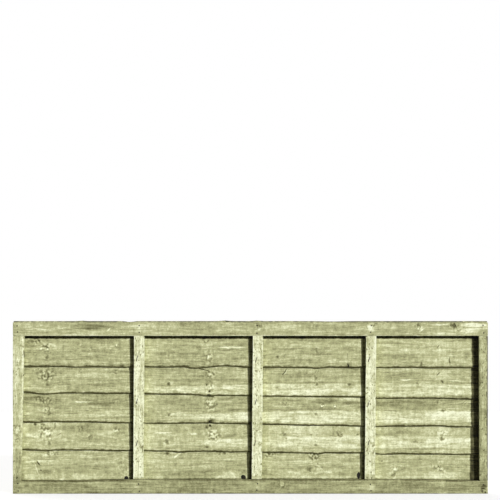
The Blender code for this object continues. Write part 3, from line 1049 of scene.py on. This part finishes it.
class FENCE_OT_add_slats(bpy.types.Operator):
    """Add the five slats with their waney lower edges"""

    bl_idname = "fence_panel.add_slats"
    bl_label = "Add Slats"

    def execute(self, context):
        timber = context.scene.fence_timber
        bark = bark_material()
        for name in SLATS:
            self.add_slat(name, timber, bark)
        return {"FINISHED"}

    def add_slat(self, name, timber, bark):
        """A finer copy of the solid slat, with its natural edge broken and barked."""
        slat = bpy.data.objects.new("waney_" + name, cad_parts[name].data.copy())
        bpy.context.scene.collection.objects.link(slat)
        slat.data.materials.clear()
        bays = bay_spans()
        wood = WOODS[name]
        # The painted shadow and shade along the uprights go onto the slat's front face
        wood = wood._replace(front_marks=(*wood.front_marks, *painted_corner_shade(name)))
        for number, span in enumerate(bays, start=1):
            material = softwood(f"{name}_bay_{number}", within(wood, *span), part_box(name), seed=name)
            slat.data.materials.append(material)
        slat.data.materials.append(bark)
        self.cut_slat(slat)
        polygons = slat.data.polygons
        edge = slat.vertex_groups.new(name="natural_edge")
        lowest = {v for p in polygons if p.normal.z < -EDGE_LEAN for v in p.vertices}
        edge.add(sorted(lowest), 1.0, "REPLACE")
        # Edges that face up or down get dirt and painted shade, which darken the lap lines
        mark_dirt_and_shade_edges(slat, [p for p in polygons if abs(p.normal.z) > EDGE_LEAN])
        for polygon in polygons:
            bay = next(i for i, (_, right) in enumerate(bays) if polygon.center.x <= right)
            is_wane = polygon.normal.z < -EDGE_LEAN and polygon.normal.y < -WANE_LEAN
            polygon.material_index = len(bays) if is_wane else bay
        roughen(slat, "sawn_faces", SLAT_SAW_GRAIN, timber.saw_wander)
        roughen(slat, "broken_wane", WANE_GRAIN, timber.wane_depth, "natural_edge", WANE_LEVEL)
        finish_piece(slat, [name])

    def cut_slat(self, slat):
        """Turns the slat's triangles into quads and cuts them across and along."""
        select_only(slat)
        bpy.ops.object.mode_set(mode="EDIT")
        bpy.ops.mesh.select_all(action="SELECT")
        bpy.ops.mesh.remove_doubles(threshold=SEAM)
        bpy.ops.mesh.tris_convert_to_quads(face_threshold=PAIR_ANGLE, shape_threshold=PAIR_ANGLE)
        select_edges(slat, lambda a, b: abs(a.z - b.z) > CLIMB)
        bpy.ops.mesh.subdivide(number_cuts=CLIMB_CUTS)
        select_edges(slat, lambda a, b: abs(a.x - b.x) > RUN)
        bpy.ops.mesh.subdivide(number_cuts=RUN_CUTS)
        bpy.ops.object.mode_set(mode="OBJECT")


class FENCE_OT_add_frame(bpy.types.Operator):
    """Add the sawn rails, stiles and battens of the front and the back"""

    bl_idname = "fence_panel.add_frame"
    bl_label = "Add Rails, Stiles and Battens"

    def execute(self, context):
        timber = context.scene.fence_timber
        fixings = context.scene.fence_fixings
        for side in SIDES:
            nails = nail_places(side, fixings)
            for name in RAILS + UPRIGHTS:
                self.add_timber(f"{name}_{side}", timber, nails)
        return {"FINISHED"}

    def add_timber(self, name, timber, nails):
        """A sawn length, cut along and across so that its faces and arrises can wander."""
        low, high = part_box(name)
        kind = next(kind for kind in PLAIN_TONES if kind in name)
        upright = kind != "rail"
        axis = 2 if upright else 0
        lean = BATTEN_LEANS.get(name.removesuffix("_front"), 0.0)
        centre = (low + high) / 2
        placed = {"location": centre, "scale": high - low, "rotation": (0.0, lean, 0.0)}
        piece = add_primitive(bpy.ops.mesh.primitive_cube_add, size=1.0, **placed)
        piece.name = "sawn_" + name
        bpy.ops.object.mode_set(mode="EDIT")
        inward = 1.0 if centre.x < PANEL_LENGTH / 2 else -1.0
        for end, shift in zip((-1.0, 1.0), STILE_TAPERS.get(name, ())):

            def at_inner_end(a, b, end=end):
                return all((p.x - centre.x) * inward > 0 and p.z * end > 0 for p in (a, b))

            select_edges(piece, at_inner_end)
            bpy.ops.transform.translate(value=(shift, 0.0, 0.0))
        if name.removesuffix("_front") in BATTENS:
            select_edges(piece, lambda a, b: max(a.z, b.z) < 0)
            bpy.ops.transform.translate(value=(0.0, 0.0, RAIL_RISE * rise_share(centre.x)))
        select_edges(piece, lambda a, b: abs(a[axis] - b[axis]) < LEVEL)
        bpy.ops.mesh.subdivide(number_cuts=FRAME_CUTS)
        select_edges(piece, lambda a, b: abs(a[axis] - b[axis]) > LEVEL)
        bpy.ops.mesh.subdivide(number_cuts=round((high[axis] - low[axis]) / timber.cut_spacing))
        bpy.ops.object.mode_set(mode="OBJECT")
        bowed = name == "bottom_rail_front"
        if bowed:
            self.bow_upper_edge(piece, high.z)
        bevel = {"width": timber.arris, "segments": 2, "limit_method": "ANGLE", "profile": 0.6}
        apply_modifier(piece, "eased_arrises", "BEVEL", **bevel)
        # The front bottom rail's top face gets painted shade where it meets the slats
        if bowed:
            left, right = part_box("left_stile_front")[1].x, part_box("right_stile_front")[0].x
            faces = [p for p in piece.data.polygons if p.normal.z > EDGE_LEAN]
            mark_dirt_and_shade_edges(piece, [p for p in faces if left < p.center.x < right])
        roughen(piece, "sawn_faces", FRAME_SAW_GRAIN, timber.saw_wander)
        wood = WOODS.get(name) or self.plain_wood(name, kind, low, high)
        own_nails = [p for p in nails if low.x < p.x < high.x and low.z < p.z < high.z]
        nail_stains = [NAIL_STAIN._replace(x=p.x, z=p.z) for p in own_nails]
        wood = wood._replace(marks=[*wood.marks, *nail_stains])
        piece.data.materials.append(softwood(name + "_wood", wood, (low, high), upright))
        finish_piece(piece, [name])

    def bow_upper_edge(self, piece, top):
        """Lifts the rail's upper edge where it stands higher than at its ends."""
        bow = piece.vertex_groups.new(name="bow")
        for vertex in piece.data.vertices:
            if vertex.co.z > top - LEVEL:
                bow.add([vertex.index], rise_share(vertex.co.x), "REPLACE")
        displace = {"direction": "Z", "strength": RAIL_RISE, "mid_level": 0.0, "vertex_group": "bow"}
        apply_modifier(piece, "bow", "DISPLACE", **displace)

    def plain_wood(self, name, kind, low, high):
        """A timber out of the photograph's view gets knots of its own, drawn from its name."""
        draw = random.Random(name)
        size = high - low
        knots = [
            Knot(
                x=low.x + size.x * draw.uniform(0.05, 0.95),
                z=low.z + size.z * draw.uniform(0.05, 0.95),
                length=draw.uniform(0.004, 0.010),
                height=draw.uniform(0.004, 0.009),
                turn=draw.uniform(-40, 40),
                tone=draw.uniform(-0.3, 0.12),
                flecks=draw.uniform(0.4, 0.9),
            )
            for _ in range(5 if kind == "rail" else 2)
        ]
        return Wood(PLAIN_TONES[kind] + draw.uniform(-0.03, 0.03), knots)


class FENCE_OT_add_nails(bpy.types.Operator):
    """Add the nail heads where the rails cross the uprights"""

    bl_idname = "fence_panel.add_nails"
    bl_label = "Add Nails"

    def execute(self, context):
        fixings = context.scene.fence_fixings
        for side in SIDES:
            head = self.add_head(side, fixings)
            finish_fixings(f"nails_{side}", head, nail_places(side, fixings), fixings)
        return {"FINISHED"}

    def add_head(self, side, fixings):
        """A flat head with a worn rim, driven nearly flush into a face at the origin."""
        radius = fixings.nail_diameter / 2
        thickness = radius * HEAD_THICKNESS
        head = add_primitive(
            bpy.ops.mesh.primitive_cylinder_add,
            vertices=14,
            radius=radius,
            depth=thickness,
            location=(0.0, -outward(side) * thickness * HEAD_SUNK, 0.0),
            rotation=(math.radians(-90.0 * outward(side)), 0.0, 0.0),
        )
        apply_modifier(head, "worn_rim", "BEVEL", width=radius * HEAD_RIM, segments=2, limit_method="ANGLE")
        return head


class FENCE_OT_add_staples(bpy.types.Operator):
    """Add the wire staples along the battens"""

    bl_idname = "fence_panel.add_staples"
    bl_label = "Add Staples"

    def execute(self, context):
        fixings = context.scene.fence_fixings
        for side in SIDES:
            staple = self.add_staple(side, fixings)
            finish_fixings(f"staples_{side}", staple, staple_places(side), fixings)
        return {"FINISHED"}

    def add_staple(self, side, fixings):
        """A crown that lies on a face at the origin, with both ends turned into the wood."""
        radius = fixings.staple_wire / 2
        half = fixings.staple_crown / 2
        into = -outward(side)
        staple = add_primitive(
            bpy.ops.mesh.primitive_cylinder_add,
            vertices=8,
            radius=radius,
            depth=2 * (half - radius),
            location=(0.0, -into * radius * STAPLE_SUNK, 0.0),
        )
        bpy.ops.object.mode_set(mode="EDIT")
        for end in (-1, 1):

            def at_end(face, end=end):
                return face.normal.z * end > END_LEAN and face.calc_center_median().z * end > 0

            select_parts(staple, "FACE", at_end)
            turn = Vector((0.0, into * radius * STAPLE_TURN, end * radius))
            bpy.ops.mesh.extrude_region_move(TRANSFORM_OT_translate={"value": turn})
            leg = Vector((0.0, into * radius * STAPLE_LEG, 0.0))
            bpy.ops.mesh.extrude_region_move(TRANSFORM_OT_translate={"value": leg})
        bpy.ops.object.mode_set(mode="OBJECT")
        staple.rotation_euler = (0.0, fixings.staple_lean, 0.0)
        apply_transform()
        return staple


class FENCE_OT_set_stage(bpy.types.Operator):
    """Set up the camera, the sun, the sky and the floor"""

    bl_idname = "fence_panel.set_stage"
    bl_label = "Set Stage"

    def execute(self, context):
        stage = context.scene.fence_stage
        context.scene.view_settings.view_transform = "Standard"
        self.add_camera(context, stage)
        self.add_sun(context, stage)
        self.add_sky(context, stage)
        self.add_floor(stage)
        return {"FINISHED"}

    def add_camera(self, context, stage):
        """Level and square to the panel's front, and above its middle, so that its outline stays square."""
        data = bpy.data.cameras.new("camera")
        data.lens = stage.lens
        data.clip_end = 100.0
        camera = bpy.data.objects.new("camera", data)
        distance = stage.metres_across * stage.lens / data.sensor_width
        camera.location = (
            PANEL_LENGTH / 2 - stage.camera_side,
            RAIL_LOW.y - distance,
            stage.camera_rise,
        )
        camera.rotation_euler = (math.radians(90.0), 0.0, 0.0)
        context.scene.collection.objects.link(camera)
        context.scene.camera = camera

    def add_sun(self, context, stage):
        data = bpy.data.lights.new("sun", "SUN")
        data.energy = stage.sun_strength
        data.angle = SUN_ANGLE
        sun = bpy.data.objects.new("sun", data)
        sun.rotation_euler = Vector(stage.sun_direction).to_track_quat("Z", "Y").to_euler()
        context.scene.collection.objects.link(sun)

    def add_sky(self, context, stage):
        """Dim light all round, a bright sky behind and above the panel, and plain white to the camera."""
        world = bpy.data.worlds.new("daylight")
        context.scene.world = world
        world.use_nodes = True
        world.node_tree.nodes.clear()
        w = Wiring(world.node_tree)
        paths = w.add("ShaderNodeLightPath").outputs
        seen = w.math("MAXIMUM", paths["Is Camera Ray"], paths["Is Glossy Ray"])
        seen = w.math("MAXIMUM", seen, paths["Is Transmission Ray"])
        direction = w.add("ShaderNodeTexCoord").outputs["Generated"]
        brightest = Vector(stage.back_sky_direction).normalized()
        nearness = w.vector("DOT_PRODUCT", direction, brightest)
        strength = w.spread(nearness, 0.6, 1.0, stage.sky_strength, stage.back_sky_strength)
        dim = w.add("ShaderNodeBackground", Color=SKY_COLOUR, Strength=strength)
        white = w.add("ShaderNodeBackground", Color=WHITE, Strength=1.0)
        mix = w.add("ShaderNodeMixShader", in_0=seen, in_1=dim.outputs[0], in_2=white.outputs[0])
        w.add("ShaderNodeOutputWorld", Surface=mix.outputs[0])

    def add_floor(self, stage):
        """A pale floor: white where it is lit, and a light grey in the panel's shadow."""
        below = (PANEL_LENGTH / 2, 0.0, PANEL_LOW.z - FLOOR_GAP)
        floor = add_primitive(bpy.ops.mesh.primitive_plane_add, size=stage.floor_size, location=below)
        floor.name = "floor"
        material, w, shader = new_material("pale_floor")
        shader.inputs["Base Color"].default_value = FLOOR_COLOUR
        shader.inputs["Roughness"].default_value = 0.95
        paths = w.add("ShaderNodeLightPath").outputs
        shader.inputs["Emission Color"].default_value = WHITE
        w.feed(shader.inputs["Emission Strength"], w.math("MULTIPLY", paths["Is Camera Ray"], FLOOR_GLOW))
        floor.data.materials.append(material)


class FENCE_PT_sidebar(bpy.types.Panel):
    """Shows the fence panel's settings and the buttons of its operators"""

    bl_idname = "FENCE_PT_sidebar"
    bl_label = "Fence Panel"
    bl_space_type = "VIEW_3D"
    bl_region_type = "UI"
    bl_category = "Fence Panel"

    def draw(self, context):
        layout = self.layout
        scene = context.scene
        for settings in (scene.fence_timber, scene.fence_fixings, scene.fence_stage):
            column = layout.column(align=True)
            for name in settings.__annotations__:
                column.prop(settings, name)
        for operator in OPERATORS:
            layout.operator(operator.bl_idname)


OPERATORS = (
    FENCE_OT_add_slats,
    FENCE_OT_add_frame,
    FENCE_OT_add_nails,
    FENCE_OT_add_staples,
    FENCE_OT_set_stage,
)
CLASSES = (PanelTimber, PanelFixings, PanelStage, *OPERATORS, FENCE_PT_sidebar)


def register():
    for cls in CLASSES:
        bpy.utils.register_class(cls)
    bpy.types.Scene.fence_timber = PointerProperty(type=PanelTimber)
    bpy.types.Scene.fence_fixings = PointerProperty(type=PanelFixings)
    bpy.types.Scene.fence_stage = PointerProperty(type=PanelStage)


def unregister():
    del bpy.types.Scene.fence_stage
    del bpy.types.Scene.fence_fixings
    del bpy.types.Scene.fence_timber
    for cls in reversed(CLASSES):
        bpy.utils.unregister_class(cls)


def main():
    register()
    bpy.ops.fence_panel.add_slats()
    bpy.ops.fence_panel.add_frame()
    bpy.ops.fence_panel.add_nails()
    bpy.ops.fence_panel.add_staples()
    bpy.ops.fence_panel.set_stage()


if __name__ == "__main__":
    main()
